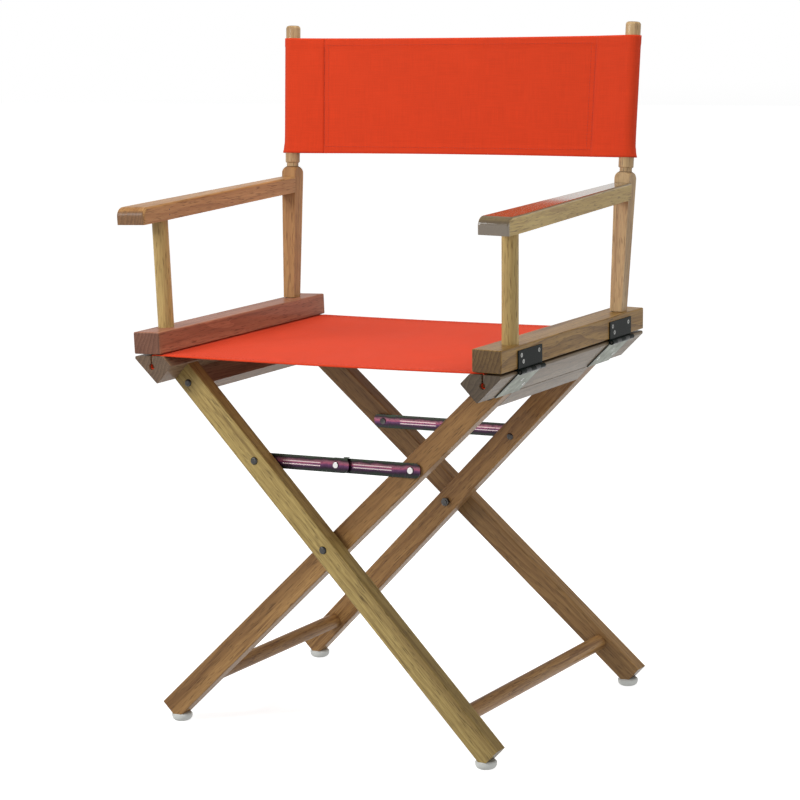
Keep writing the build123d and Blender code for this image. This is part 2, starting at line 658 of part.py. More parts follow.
def make_braces():
    outer_bolt = BRACE_PLANE * outer_brace_bolt()
    inner_rivet = BRACE_PLANE * inner_brace_rivet()
    save("outer_brace_bolts", both_ends(outer_bolt))
    save("inner_brace_rivets", both_ends(inner_rivet))
    pieces = {
        "brace_outer_link": BRACE_PLANE * outer_link(),
        "brace_inner_link": BRACE_PLANE * inner_link(),
        "brace_middle_rivet": BRACE_PLANE * middle_rivet(),
        "brace_rivet_tail": BRACE_PLANE * middle_rivet_tail(),
    }
    for name, shape in pieces.items():
        save("front_" + name, shape)
        save("rear_" + name, to_back(shape))


def main():
    os.makedirs("parts", exist_ok=True)
    make_arms()
    make_frame("right", INNER_LEG_Y, "inner_leg", "left", lambda shape: shape)
    make_frame("left", OUTER_LEG_Y, "outer_leg", "right", to_left)
    make_scissor()
    make_braces()
    save("seat_canvas", seat_canvas())
    save("back_canvas", back_canvas())


main()
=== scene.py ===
import json
import math

import bpy
import numpy as np
from mathutils import Matrix, Vector


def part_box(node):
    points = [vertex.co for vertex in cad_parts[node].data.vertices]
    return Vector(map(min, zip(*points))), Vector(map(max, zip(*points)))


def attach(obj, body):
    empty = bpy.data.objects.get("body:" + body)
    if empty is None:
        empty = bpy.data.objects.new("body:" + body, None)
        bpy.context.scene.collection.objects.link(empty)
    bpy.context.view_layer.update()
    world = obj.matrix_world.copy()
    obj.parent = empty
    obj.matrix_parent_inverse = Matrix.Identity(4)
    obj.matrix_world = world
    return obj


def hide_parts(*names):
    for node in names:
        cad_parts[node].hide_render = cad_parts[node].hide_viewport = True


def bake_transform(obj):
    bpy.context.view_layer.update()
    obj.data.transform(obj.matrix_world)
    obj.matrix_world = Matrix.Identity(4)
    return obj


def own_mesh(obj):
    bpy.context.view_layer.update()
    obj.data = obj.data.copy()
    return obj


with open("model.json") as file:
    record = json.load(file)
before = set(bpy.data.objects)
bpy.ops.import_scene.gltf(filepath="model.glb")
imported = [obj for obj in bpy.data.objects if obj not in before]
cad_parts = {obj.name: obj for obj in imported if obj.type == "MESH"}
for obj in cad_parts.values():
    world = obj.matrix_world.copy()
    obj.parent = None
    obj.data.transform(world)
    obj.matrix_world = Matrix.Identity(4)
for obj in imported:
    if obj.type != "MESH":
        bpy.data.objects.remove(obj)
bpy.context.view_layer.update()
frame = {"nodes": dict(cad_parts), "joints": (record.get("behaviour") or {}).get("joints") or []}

# Folding director chair, open, in metres: +X is the sitter's left, +Y the back, +Z up.
# The wooden and metal nodes of the frame get materials; the two canvases are replaced by cloth.

MM = 0.001
NODES = frame["nodes"]
JOINTS = {joint["name"]: joint for joint in frame["joints"]}

# ---------------------------------------------------------------- dimensions
CLOTH = 0.9 * MM                # canvas thickness
THREAD_PITCH = 0.85 * MM        # between the canvas's threads
HEM_EXTRA = 0.7 * MM            # the folded hem is this much thicker
HEM_STEP = 0.35 * MM            # softness of the step from a hem to the single cloth
BACK_HEM = 11 * MM
BACK_HEM_ROW = BACK_HEM - 1.8 * MM      # from the edge to the hem's stitches
SEAT_HEM = 12 * MM
SEAT_HEM_ROW = SEAT_HEM - 2 * MM
STITCH_LENGTH = 2.8 * MM
STITCH_PITCH = 3.8 * MM
STITCH_RADIUS = 0.38 * MM
STITCH_LIFT = 0.05 * MM         # from the cloth's face to a stitch's axis

BACK_MARGIN = 1.2 * MM          # kept clear at the top and bottom of the back's box
SLEEVE_SEAM = 49 * MM           # from a back dowel's axis to its row of stitches
SLEEVE_FLAP = 3 * MM            # flap behind, beyond the stitches
SLEEVE_EASE = 0.35 * MM         # between a back dowel and the cloth round it
SLEEVE_FLARE = 0.30             # the bottom edge stands away from the outside of the dowel
PLY_OFFSET = 0.55 * MM          # a sleeve's plies lie this far each side of the dowels' plane
SEAM_INSET = 0.5 * MM           # from the seam to the first row of stitches
SEAM_PAIR = 6 * MM              # between the two rows of stitches
SEAM_START = 3                  # rows of the cloth grid left free at each end of a seam
PANEL_TUCK = 20 * MM            # panel hidden inside the right sleeve
PANEL_BOW = 0.22 * MM           # the panel's middle lies this much further forward
PANEL_DIP = 0.9 * MM            # the top edge dips, and the bottom edge rises, at mid-width
PANEL_RIPPLE = 0.35 * MM        # puckers beside the seams
HEM_FRONT = 0.75 * MM           # middle of the panel's hem, for the stitches in front of it
HEM_BEHIND = 0.35 * MM          # and for those behind it

SEAT_SAG = 1.5 * MM
SEAT_CORNER = 1.4 * MM          # round where the seat turns down into the groove
CORNER_STEPS = 8
SEAT_HEM_STOP = 14 * MM         # the hem's extra thickness ends this far from the groove
SEAT_STITCH_STOP = 16 * MM

BEAD_CENTRE = 0.48              # of the way from the middle rivet to a link's pin
BEAD_LENGTH = 55 * MM
BEAD_LIP = (0.9 * MM, 1.6 * MM, 2.0 * MM, 2.7 * MM)     # rise and fall of the painted highlight on a bead lip
STRIP_HALF = 9 * MM             # of the strip's height, which the tempering runs across
LEG_IN_FROM_LINK = 12 * MM      # from the links' plane to within the inner leg

TOP_AND_END_DARKENING = 0.85                  # how much darker the polished armrest is on its top and its front end
WORLD_OVERHEAD = 0.30           # light from straight above, against 1.0 round the horizon
WORLD_BELOW = 0.35              # light from under the horizon

CAMERA_PLACE = (1.6662, -2.9619, 0.9497)
CAMERA_AZIMUTH, CAMERA_ELEVATION, CAMERA_ROLL = 29.237, 9.296, -1.587
CAMERA_LENS = 123.9
SENSOR_WIDTH = 36.0


# ---------------------------------------------------------------- node helpers
class Shader:
    """A node material under construction."""

    def __init__(self, name):
        self.material = bpy.data.materials.new(name)
        self.material.use_nodes = True
        self.tree = self.material.node_tree
        self.principled = self.tree.nodes["Principled BSDF"]

    def plug(self, socket, value):
        if isinstance(value, bpy.types.NodeSocket):
            self.tree.links.new(value, socket)
        else:
            socket.default_value = value

    def node(self, kind, inputs=(), out=0, **settings):
        made = self.tree.nodes.new(kind)
        for key, value in settings.items():
            setattr(made, key, value)
        for key, value in dict(inputs).items():
            self.plug(made.inputs[key], value)
        return made.outputs[out]

    def shade(self, **values):
        for key, value in values.items():
            self.plug(self.principled.inputs[key.replace("_", " ")], value)

    def math(self, operation, *values):
        return self.node("ShaderNodeMath", enumerate(values), operation=operation)

    def vector(self, operation, *values, out=0):
        return self.node("ShaderNodeVectorMath", enumerate(values), operation=operation, out=out)

    def remap(self, value, low, high, to_low=0.0, to_high=1.0):
        """A smooth step between two values, held beyond them."""
        inputs = {"Value": value, "From Min": low, "From Max": high, "To Min": to_low, "To Max": to_high}
        return self.node("ShaderNodeMapRange", inputs, interpolation_type="SMOOTHSTEP")

    def mix(self, factor, first, second, blend="MIX"):
        inputs = {0: factor, 6: first, 7: second}
        return self.node("ShaderNodeMix", inputs, out=2, data_type="RGBA", blend_type=blend)

    def noise(self, vector, scale=1.0, detail=2.0, roughness=0.5):
        inputs = {"Vector": vector, "Scale": scale, "Detail": detail, "Roughness": roughness}
        return self.node("ShaderNodeTexNoise", inputs)

    def bump(self, height, strength, distance):
        inputs = {"Height": height, "Strength": strength, "Distance": distance}
        return self.node("ShaderNodeBump", inputs)


def colour(red, green, blue):
    return (red, green, blue, 1.0)


def scaled(tint, share):
    return colour(*[share * c for c in tint])


# ---------------------------------------------------------------- materials
def growth_rings(s, aligned, drift, seed):
    """Rings about a pith that wanders beside the piece."""
    wander = s.vector("SCALE", s.vector("SUBTRACT", drift, (0.5, 0.5, 0.5)))
    wander.node.inputs["Scale"].default_value = 0.03
    beside = (0, 0.021 + 0.013 * math.sin(seed * 7), 0.046)
    pith = s.vector("ADD", s.vector("ADD", aligned, wander), beside)
    inputs = {"Vector": pith, "Scale": 58.0, "Distortion": 0.6, "Detail": 2.0, "Detail Scale": 0.4}
    return s.node("ShaderNodeTexWave", inputs, out=1,
                  wave_type="RINGS", rings_direction="X", wave_profile="SAW")


def wood(name, light, dark, grain, seed, streak, polished):
    """Lacquered hardwood: growth rings about an axis along the grain, pores and streaks.

    seed moves the piece to its own part of the board, and streak is how strong its rings show.
    A polished piece is darker and mirrors more on its top and its front end.
    """
    s = Shader(name)
    grain = Vector(grain).normalized()
    turn = grain.rotation_difference(Vector((1, 0, 0))).to_euler()
    aligned = s.node("ShaderNodeMapping", {"Vector": s.node("ShaderNodeTexCoord", out="Object"),
                                           "Rotation": turn, "Location": (seed, seed * 0.31, 0)})

    def grained(along, across, **settings):
        """Noise drawn out along the grain."""
        return s.noise(s.vector("MULTIPLY", aligned, (along, across, across)), **settings)

    rings = growth_rings(s, aligned, grained(2.6, 13.0, detail=3.0), seed)
    tone = grained(1.7, 26.0, detail=2.0)
    fibre = grained(34.0, 640.0, detail=3.0, roughness=0.65)
    streaks = s.remap(grained(7.0, 210.0, detail=3.0, roughness=0.6), 0.52, 0.70)
    pores = s.remap(grained(60.0, 900.0, detail=1.0), 0.58, 0.70)
    stain = s.remap(grained(2.3, 55.0, detail=2.0), 0.52, 0.74)
    middle = tuple(0.62 * a + 0.38 * b for a, b in zip(light, dark))
    base = s.mix(s.remap(tone, 0.38, 0.66), colour(*light), colour(*middle))
    base = s.mix(s.math("MULTIPLY", s.math("POWER", rings, 2.2), streak), base, colour(*dark))
    base = s.mix(s.math("MULTIPLY", stain, streak), base, colour(*dark))
    base = s.mix(s.math("MULTIPLY", streaks, 0.65), base, colour(*dark))
    base = s.mix(s.remap(fibre, 0.3, 0.75, 0.0, 0.45), base, colour(*dark))
    base = s.mix(s.math("MULTIPLY", pores, 0.6), base, scaled(dark, 0.40))

    normal = s.node("ShaderNodeTexCoord", out="Normal")
    facing = s.math("ABSOLUTE", s.vector("DOT_PRODUCT", normal, tuple(grain), out=1))
    early_wood = colour(*[0.55 * c + 0.02 for c in dark])
    late_wood = colour(*[0.25 * c + 0.015 for c in dark])
    base = s.mix(s.remap(facing, 0.70, 0.92, 0.0, 0.72), base, s.mix(rings, early_wood, late_wood))
    if polished:
        parts = s.node("ShaderNodeSeparateXYZ", {"Vector": normal}).node
        # darker base colour and a heavier coat where the faces point up or forward
        facing_up_or_ahead = s.math("MAXIMUM", parts.outputs["Z"], s.math("MULTIPLY", parts.outputs["Y"], -1.0))
        base = s.mix(s.remap(facing_up_or_ahead, 0.2, 0.8, 0.0, TOP_AND_END_DARKENING), base, scaled(dark, 0.28))
        s.shade(Coat_Weight=s.remap(facing_up_or_ahead, 0.05, 0.6, 0.08, 1.0), Coat_IOR=2.0)
    else:
        s.shade(Coat_Weight=0.16, Coat_IOR=1.45)
    relief = s.math("SUBTRACT", s.math("MULTIPLY", rings, 0.25), pores)
    s.shade(Base_Color=base, Roughness=s.remap(tone, 0.3, 0.7, 0.42, 0.56))
    s.shade(Normal=s.bump(relief, 0.30, 0.0004), Specular_IOR_Level=0.15, Coat_Roughness=0.09)
    return s.material


def canvas(name, tint):
    """Plain-weave cotton duck; texture coordinates are metres along the two threads."""
    s = Shader(name)
    coords = s.node("ShaderNodeTexCoord", out="UV")
    parts = s.node("ShaderNodeSeparateXYZ", {"Vector": coords}).node
    turns = 2 * math.pi / THREAD_PITCH
    warp = s.math("SINE", s.math("MULTIPLY", parts.outputs["X"], turns))
    weft = s.math("SINE", s.math("MULTIPLY", parts.outputs["Y"], turns))
    weave = s.math("MULTIPLY_ADD", s.math("MULTIPLY", warp, weft), 0.5, 0.5)
    slub_x = s.noise(s.vector("MULTIPLY", coords, (30.0, 900.0, 1.0)), detail=2.0)
    slub_y = s.noise(s.vector("MULTIPLY", coords, (900.0, 30.0, 1.0)), detail=2.0)
    slubs = s.math("ADD", slub_x, slub_y)
    cloud = s.noise(coords, scale=11.0, detail=4.0)
    blotch = s.noise(coords, scale=60.0, detail=3.0)
    worn = tuple(1.06 * c + 0.008 for c in tint)
    base = s.mix(s.remap(slubs, 0.75, 1.25), scaled(tint, 0.90), colour(*tint))
    base = s.mix(s.remap(cloud, 0.40, 0.72, 0.0, 0.35), base, colour(*worn))
    base = s.mix(s.remap(blotch, 0.45, 0.75, 0.0, 0.16), base, scaled(tint, 0.78))
    # painted shade in the weave's hollows: darker where the weave's height is low
    base = s.mix(s.math("MULTIPLY", s.math("SUBTRACT", 1.0, weave), 0.28), base, scaled(tint, 0.6))
    height = s.math("ADD", weave, s.math("MULTIPLY", slubs, 0.4))
    s.shade(Base_Color=base, Roughness=s.remap(cloud, 0.3, 0.7, 0.80, 0.92))
    s.shade(Normal=s.bump(height, 0.28, 0.0002))
    s.shade(Specular_IOR_Level=0.12, Sheen_Weight=0.04, Sheen_Roughness=0.5)
    return s.material


def thread(name, tint):
    """Twisted sewing thread."""
    s = Shader(name)
    coords = s.node("ShaderNodeTexCoord", out="Object")
    twist = s.noise(coords, scale=2600.0, detail=1.0)
    s.shade(Base_Color=s.mix(twist, colour(*tint), scaled(tint, 0.6)), Roughness=0.75)
    s.shade(Normal=s.bump(twist, 0.3, 0.0002))
    return s.material


def metal(name, tint, second, rough, wear, metallic=1.0, specular=0.5):
    """Sheet or turned metal with cloudy tone, fine scratches and rubbed spots."""
    s = Shader(name)
    coords = s.node("ShaderNodeTexCoord", out="Object")
    cloud = s.noise(coords, scale=55.0, detail=4.0, roughness=0.6)
    scratch = s.noise(s.vector("MULTIPLY", coords, (700.0, 90.0, 2600.0)), detail=2.0)
    wear_and_painted_highlight = s.remap(s.noise(coords, scale=160.0, detail=5.0, roughness=0.7), 0.60, 0.74, 0.0, wear)
    base = s.mix(s.remap(cloud, 0.35, 0.65), colour(*tint), colour(*second))
    base = s.mix(wear_and_painted_highlight, base, colour(0.55, 0.54, 0.52))
    s.shade(Base_Color=base, Metallic=metallic, Roughness=s.remap(cloud, 0.3, 0.7, rough, rough + 0.14))
    s.shade(Normal=s.bump(scratch, 0.08, 0.0002), Specular_IOR_Level=specular)
    return s.material


def rail_leaf_metal(name, axis, low_y, high_y):
    """Leaf whose grey-green colour is a painted reflection of the pale floor, black at its knuckles and
    along its cut ends.
    """
    s = Shader(name)
    coords = s.node("ShaderNodeTexCoord", out="Object")
    cloud = s.noise(coords, scale=70.0, detail=4.0, roughness=0.6)
    stained = s.remap(s.noise(coords, scale=190.0, detail=4.0, roughness=0.65), 0.58, 0.72, 0.0, 0.55)
    # grey-green base: painted reflection of the pale floor, with random darker patches
    painted_floor_reflection = s.mix(s.remap(cloud, 0.35, 0.65), colour(0.17, 0.20, 0.14), colour(0.12, 0.135, 0.10))
    painted_floor_reflection = s.mix(stained, painted_floor_reflection, colour(0.05, 0.08, 0.045))
    across = s.vector("MULTIPLY", s.vector("SUBTRACT", coords, axis), (1.0, 0.0, 1.0))
    knuckle = s.remap(s.vector("LENGTH", across, out=1), 3.4 * MM, 4.2 * MM, 1.0, 0.0)
    along = s.node("ShaderNodeSeparateXYZ", {"Vector": coords}, out="Y")
    near_end = s.math("MINIMUM", s.math("SUBTRACT", along, low_y), s.math("SUBTRACT", high_y, along))
    outline = s.remap(near_end, 0.9 * MM, 1.5 * MM, 0.9, 0.0)
    base = s.mix(s.math("MAXIMUM", knuckle, outline), painted_floor_reflection, colour(0.010, 0.012, 0.011))
    s.shade(Base_Color=base, Metallic=0.2, Roughness=s.remap(cloud, 0.3, 0.7, 0.36, 0.50))
    s.shade(Normal=s.bump(cloud, 0.10, 0.0003))
    return s.material


def tempered_brace(name, height, bead):
    """Dark passivated strip with purple, pink and green in its coating, and a painted highlight along its
    bead's lips.

    height is the strip's centre line with the chair open; bead is the bead's two ends along X.
    """
    s = Shader(name)
    coords = s.node("ShaderNodeTexCoord", out="Object")
    parts = s.node("ShaderNodeSeparateXYZ", {"Vector": coords}).node
    above = s.math("SUBTRACT", parts.outputs["Z"], height)
    drift = s.noise(s.vector("MULTIPLY", coords, (60.0, 30.0, 60.0)), detail=2.0)
    wander = s.math("MULTIPLY", s.math("SUBTRACT", drift, 0.5), 5.0 * MM)
    across = s.remap(s.math("ADD", above, wander), -STRIP_HALF, STRIP_HALF)
    ramp = s.node("ShaderNodeValToRGB", {"Fac": across})
    stops = ramp.node.color_ramp.elements
    stops[0].position, stops[0].color = 0.0, colour(0.020, 0.035, 0.022)
    stops[1].position, stops[1].color = 1.0, colour(0.040, 0.060, 0.035)
    bands = ((0.18, (0.030, 0.014, 0.030)), (0.42, (0.13, 0.045, 0.12)), (0.60, (0.36, 0.09, 0.15)),
             (0.78, (0.24, 0.10, 0.13)), (0.92, (0.020, 0.012, 0.014)))
    for place, tint in bands:
        stops.new(place).color = colour(*tint)
    speck = s.noise(coords, scale=380.0, detail=3.0)
    base = s.mix(s.remap(speck, 0.42, 0.72, 0.0, 0.55), ramp, colour(0.05, 0.020, 0.045))
    middle = (bead[0] + bead[1]) / 2
    reach = abs(bead[1] - bead[0]) / 2
    past = s.math("ABSOLUTE", s.math("SUBTRACT", parts.outputs["X"], middle))
    along_bead = s.remap(past, reach - 2 * MM, reach, 1.0, 0.0)
    offset = s.math("ABSOLUTE", above)
    rise = s.remap(offset, BEAD_LIP[0], BEAD_LIP[1])
    fall = s.remap(offset, BEAD_LIP[2], BEAD_LIP[3], 1.0, 0.0)
    lips = s.math("MULTIPLY", rise, fall)
    # painted highlight: the bead's lips are lightened towards near white along the bead
    wear_and_painted_highlight = s.math("MULTIPLY", lips, along_bead)
    base = s.mix(s.math("MULTIPLY", wear_and_painted_highlight, 0.75), base, colour(0.88, 0.72, 0.70))
    s.shade(Base_Color=base, Metallic=0.75, Roughness=s.remap(speck, 0.3, 0.7, 0.18, 0.30))
    s.shade(Normal=s.bump(speck, 0.06, 0.0002))
    return s.material


def rivet_metal(name, inside_leg):
    """Bright pressed head with painted shade round its rounded rim, and a dark set head on a leg's inner
    side.

    inside_leg is a distance from the middle of the chair, along Y, that lies within the leg.
    """
    s = Shader(name)
    coords = s.node("ShaderNodeTexCoord", out="Object")
    cloud = s.noise(coords, scale=120.0, detail=4.0, roughness=0.6)
    outward = s.math("ABSOLUTE", s.node("ShaderNodeSeparateXYZ", {"Vector": coords}, out="Y"))
    normal = s.node("ShaderNodeTexCoord", out="Normal")
    facing = s.math("ABSOLUTE", s.node("ShaderNodeSeparateXYZ", {"Vector": normal}, out="Y"))
    polish = s.mix(cloud, colour(0.80, 0.79, 0.77), colour(0.62, 0.61, 0.60))
    # painted shade: the head is darker where its surface turns away from Y, round its rim
    head_with_painted_rim_shade = s.mix(s.remap(facing, 0.86, 0.985), colour(0.10, 0.085, 0.09), polish)
    dark_set_head = s.mix(cloud, colour(0.10, 0.095, 0.09), colour(0.04, 0.04, 0.04))
    base = s.mix(s.remap(outward, inside_leg, inside_leg + 1 * MM), dark_set_head, head_with_painted_rim_shade)
    s.shade(Base_Color=base, Metallic=1.0, Roughness=s.remap(cloud, 0.3, 0.7, 0.22, 0.36))
    s.shade(Normal=s.bump(cloud, 0.10, 0.0002))
    return s.material


def plastic(name, tint, rough):
    """Moulded plastic, mottled and scuffed."""
    s = Shader(name)
    coords = s.node("ShaderNodeTexCoord", out="Object")
    mottle = s.noise(coords, scale=240.0, detail=4.0)
    scuff = s.remap(s.noise(coords, scale=90.0, detail=3.0), 0.55, 0.75, 0.0, 0.5)
    base = s.mix(scuff, colour(*tint), scaled(tint, 0.62))
    s.shade(Base_Color=base, Roughness=rough, Normal=s.bump(mottle, 0.15, 0.0003))
    return s.material


def dress(node, material):
    mesh = NODES[node].data
    mesh.materials.clear()
    mesh.materials.append(material)


# Woods, each a light and a dark tint
OLIVE = ((0.47, 0.345, 0.120), (0.17, 0.102, 0.030))
BROWN = ((0.44, 0.245, 0.085), (0.14, 0.062, 0.021))
UMBER = ((0.36, 0.210, 0.080), (0.13, 0.062, 0.022))
WARM = ((0.50, 0.280, 0.105), (0.23, 0.098, 0.034))
TAN = ((0.40, 0.235, 0.065), (0.13, 0.062, 0.016))
PALE = ((0.56, 0.410, 0.155), (0.28, 0.165, 0.055))
FAWN = ((0.54, 0.375, 0.190), (0.27, 0.150, 0.070))
# GREY and DARK_GREY, for the seat rails: grey-brown wood, greyed further as a painted reflection of the
# pale floor
GREY = ((0.38, 0.250, 0.145), (0.15, 0.085, 0.048))
DARK_GREY = ((0.23, 0.170, 0.100), (0.10, 0.064, 0.038))
RED_BROWN = ((0.45, 0.185, 0.098), (0.19, 0.068, 0.034))
POLISHED = ((0.60, 0.445, 0.165), (0.30, 0.185, 0.075))


# Ways that the grain runs
DEPTHWAYS = (0, 1, 0)
UPRIGHT = (0, 0, 1)
LEANING = (0, 0.11, 1)


def leg_grain(way, end):
    """Down a leg: way is +1 towards the sitter's left, end is -1 for a front leg."""
    return (way * 0.72, end * 0.087, -0.695)


def dress_wood():
    """Each wooden node: its wood, the way of its grain, its seed and the strength of its rings."""
    looks = {
        "front_outer_leg": (OLIVE, leg_grain(1, -1), 0.13, 0.45),
        "rear_outer_leg": (UMBER, leg_grain(1, 1), 0.57, 0.50),
        "front_inner_leg": (BROWN, leg_grain(-1, -1), 1.19, 0.60),
        "rear_inner_leg": (BROWN, leg_grain(-1, 1), 1.83, 0.60),
        # seat rails: their grey is partly the wood's own tint and partly a painted reflection of the floor
        "left_seat_rail": (GREY, DEPTHWAYS, 2.41, 0.55),
        "right_seat_rail": (DARK_GREY, DEPTHWAYS, 3.07, 0.55),
        "left_stretcher": (BROWN, DEPTHWAYS, 3.61, 0.45),
        "right_stretcher": (BROWN, DEPTHWAYS, 4.27, 0.45),
        "left_arm_base": (RED_BROWN, DEPTHWAYS, 4.93, 0.60),
        "right_arm_base": (TAN, DEPTHWAYS, 5.39, 0.75),
        "left_armrest": (WARM, DEPTHWAYS, 6.01, 0.45),
        "right_armrest": (POLISHED, DEPTHWAYS, 6.67, 0.18),
        "left_front_post": (PALE, UPRIGHT, 7.31, 0.30),
        "right_front_post": (PALE, UPRIGHT, 7.93, 0.30),
        "left_rear_post": (WARM, LEANING, 8.47, 0.50),
        "right_rear_post": (FAWN, LEANING, 9.11, 0.35),
        "left_back_dowel": (FAWN, LEANING, 9.67, 0.45),
        "right_back_dowel": (FAWN, LEANING, 10.3, 0.40),
        "left_seat_dowel": (PALE, DEPTHWAYS, 10.9, 0.30),
        "right_seat_dowel": (PALE, DEPTHWAYS, 11.5, 0.30),
    }
    for name, ((light, dark), grain, seed, streak) in looks.items():
        dress(name, wood("wood_" + name, light, dark, grain, seed, streak, name == "right_armrest"))


def dress_metal():
    """Metal and plastic nodes, by how their names end, and a finish of its own for each rail leaf and each
    brace link.
    """
    black = metal("hinge_black", (0.003, 0.006, 0.005), (0.006, 0.010, 0.008), rough=0.16, wear=0.02,
                  metallic=0.0, specular=0.05)
    dark_steel = metal("dark_steel", (0.10, 0.095, 0.09), (0.05, 0.05, 0.05), rough=0.28, wear=0.35)
    screw_steel = metal("screw_steel", (0.42, 0.42, 0.40), (0.24, 0.24, 0.23), rough=0.20, wear=0.1)
    link_plane = abs(JOINTS["front_inner_link_pin"]["pos_m"][1])
    bright = rivet_metal("middle_rivet_steel", 0.0)
    riveted = rivet_metal("brace_rivet_steel", link_plane - LEG_IN_FROM_LINK)
    washer = plastic("spacer_black", (0.03, 0.03, 0.03), 0.55)
    glide = plastic("glide_grey", (0.62, 0.63, 0.60), 0.45)
    endings = (
        ("hinge_arm_leaf", black), ("hinge_pin", dark_steel),
        ("hinge_screws", screw_steel), ("rail_bolts", dark_steel), ("pivot_bolts", dark_steel),
        ("pivot_nuts", dark_steel), ("outer_brace_bolts", dark_steel), ("brace_rivets", riveted),
        ("middle_rivet", bright), ("rivet_tail", bright), ("arm_brads", dark_steel),
        ("pivot_spacers", washer), ("glide", glide),
    )
    for node in NODES:
        for ending, material in endings:
            if node.endswith(ending):
                dress(node, material)
        if node.endswith("hinge_rail_leaf"):
            pin_low, pin_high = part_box(node.replace("rail_leaf", "pin"))
            low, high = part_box(node)
            dress(node, rail_leaf_metal("plated_" + node, (pin_low + pin_high) / 2, low.y, high.y))
        if node.endswith("er_link"):
            pin = Vector(JOINTS[node.replace("brace_", "") + "_pin"]["pos_m"])
            middle = BEAD_CENTRE * pin.x
            bead = (middle - BEAD_LENGTH / 2, middle + BEAD_LENGTH / 2)
            dress(node, tempered_brace("sheen_" + node, pin.z, bead))


# ---------------------------------------------------------------- cloth meshes
def normals_of(grid):
    """Unit normals of a grid of points, from its rows and columns."""
    across = np.gradient(grid, axis=0)
    up = np.gradient(grid, axis=1)
    normal = np.cross(across, up)
    return normal / np.linalg.norm(normal, axis=2, keepdims=True)


def lengths_along(grid, axis):
    """Distance travelled over the cloth along one direction of a grid."""
    steps = np.linalg.norm(np.diff(grid, axis=axis), axis=2)
    start = np.zeros_like(np.take(steps, [0], axis=axis))
    return np.concatenate([start, np.cumsum(steps, axis=axis)], axis=axis)


def cloth(name, grid, thickness, material):
    """A closed thin solid round a grid of centre points; thickness is a grid of metres."""
    normal = normals_of(grid)
    half = thickness[:, :, None] / 2
    front = grid + normal * half
    back = grid - normal * half
    columns, rows = grid.shape[:2]
    count = columns * rows
    index = np.arange(count).reshape(columns, rows)
    faces = []
    for i in range(columns - 1):
        for j in range(rows - 1):
            a, b, c, d = index[i, j], index[i + 1, j], index[i + 1, j + 1], index[i, j + 1]
            faces.append((a, b, c, d))
            faces.append((a + count, d + count, c + count, b + count))
    rim = [*index[:, 0], *index[-1, 1:], *index[-2::-1, -1], *index[0, -2:0:-1]]
    for a, b in zip(rim, rim[1:] + rim[:1]):
        faces.append((a, a + count, b + count, b))
    mesh = bpy.data.meshes.new(name)
    points = np.concatenate([front.reshape(-1, 3), back.reshape(-1, 3)])
    mesh.from_pydata(points.tolist(), [], [tuple(int(v) for v in f) for f in faces])
    across = lengths_along(grid, 0)
    up = lengths_along(grid, 1)
    where = np.concatenate([np.stack([across, up], axis=2).reshape(-1, 2)] * 2)
    layer = mesh.uv_layers.new(name="UVMap")
    corners = np.array([loop.vertex_index for loop in mesh.loops])
    layer.data.foreach_set("uv", where[corners].ravel())
    mesh.polygons.foreach_set("use_smooth", [True] * len(mesh.polygons))
    mesh.materials.append(material)
    piece = bpy.data.objects.new(name, mesh)
    bpy.context.scene.collection.objects.link(piece)
    return piece


def hem_thickness(position, low, high, depth):
    """Canvas thickness: a folded hem at both ends of a range."""
    edge = np.minimum(position - low, high - position)
    fold = 1 / (1 + np.exp((edge - depth) / HEM_STEP))
    return CLOTH + HEM_EXTRA * fold


def stitches(name, runs, material):
    """Short raised threads along straight runs; each run is (start, end, normal of the cloth).

    A thread is rings of points; each ring is its place along the thread and its share of the radius.
    """
    sides = 6
    rings = ((-1.0, 0.25), (-0.6, 0.9), (0.0, 1.0), (0.6, 0.9), (1.0, 0.25))
    points, faces = [], []
    for start, end, normal in runs:
        start, end, normal = Vector(start), Vector(end), Vector(normal).normalized()
        along = (end - start).normalized()
        side = along.cross(normal)
        total = (end - start).length
        for i in range(int(total / STITCH_PITCH)):
            centre = start + along * (STITCH_PITCH * (i + 0.5))
            first = len(points)
            for reach, width in rings:
                middle = centre + along * (reach * STITCH_LENGTH / 2)
                for k in range(sides):
                    angle = 2 * math.pi * k / sides
                    offset = side * math.cos(angle) + normal * math.sin(angle)
                    points.append(middle + offset * (STITCH_RADIUS * width))
            for r in range(len(rings) - 1):
                for k in range(sides):
                    a = first + r * sides + k
                    b = first + r * sides + (k + 1) % sides
                    faces.append((a, b, b + sides, a + sides))
            faces.append(tuple(first + k for k in reversed(range(sides))))
            faces.append(tuple(first + (len(rings) - 1) * sides + k for k in range(sides)))
    mesh = bpy.data.meshes.new(name)
    mesh.from_pydata([tuple(p) for p in points], [], faces)
    mesh.polygons.foreach_set("use_smooth", [True] * len(mesh.polygons))
    mesh.materials.append(material)
    piece = bpy.data.objects.new(name, mesh)
    bpy.context.scene.collection.objects.link(piece)
    return piece


def rod_axis(node):
    """Lowest and highest points of the axis of a round rod, and its direction, from its mesh."""
    co = np.array([v.co for v in NODES[node].data.vertices])
    centre = co.mean(0)
    direction = np.linalg.svd(co - centre)[2][0]
    if direction[2] < 0:
        direction = -direction
    reach = (co - centre) @ direction
    return centre + direction * reach.min(), centre + direction * reach.max(), direction


# ---------------------------------------------------------------- back canvas
def back_measures():
    """Points up the right back dowel's axis, its lean, the way to the sitter and its radius."""
    low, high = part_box("back_canvas")
    foot, top, axis = rod_axis("right_back_dowel")
    lean = Vector((0, axis[1], axis[2])).normalized()
    toward_sitter = Vector((0, -lean.z, lean.y))
    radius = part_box("right_back_dowel")[1].x - top[0]
    heights = np.linspace(low.z + BACK_MARGIN, high.z - BACK_MARGIN, 61)
    travel = [(z - foot[2]) / axis[2] for z in heights]
    centres = np.array([foot + axis * t for t in travel])
    return centres, lean, toward_sitter, radius


